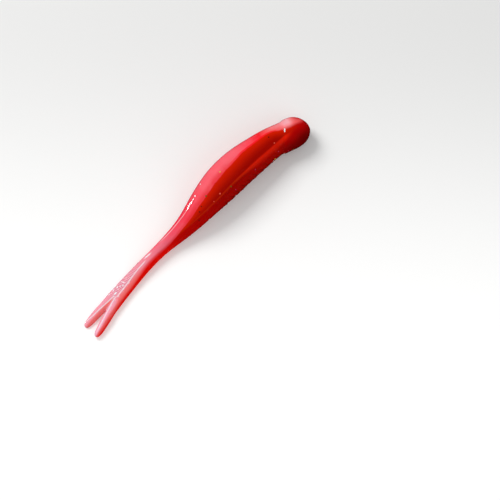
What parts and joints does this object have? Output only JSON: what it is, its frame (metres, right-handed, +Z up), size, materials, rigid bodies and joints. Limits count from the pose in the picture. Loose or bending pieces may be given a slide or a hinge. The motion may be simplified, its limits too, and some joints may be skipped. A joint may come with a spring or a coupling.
{
  "type": "soft plastic fork-tailed minnow bait",
  "caption": "Limp two-tone soft plastic minnow bait with a blunt head cap, herringbone back, flat stem and forked tail, lying gently bent and twisted.",
  "frame": {"origin": "centre of the bounding box in X and Y, on the surface that the bait lies on", "axes": "+X towards the nose, +Y towards the side that the belly faces, +Z up"},
  "size_m": [0.1268, 0.0198, 0.015],
  "materials": {
    "vinyl": "glossy translucent vinyl, pink on the belly and deep red on the back, with sparse glitter"
  },
  "bodies": {
    "root": {"bait": "vinyl"}
  },
  "joints": []
}
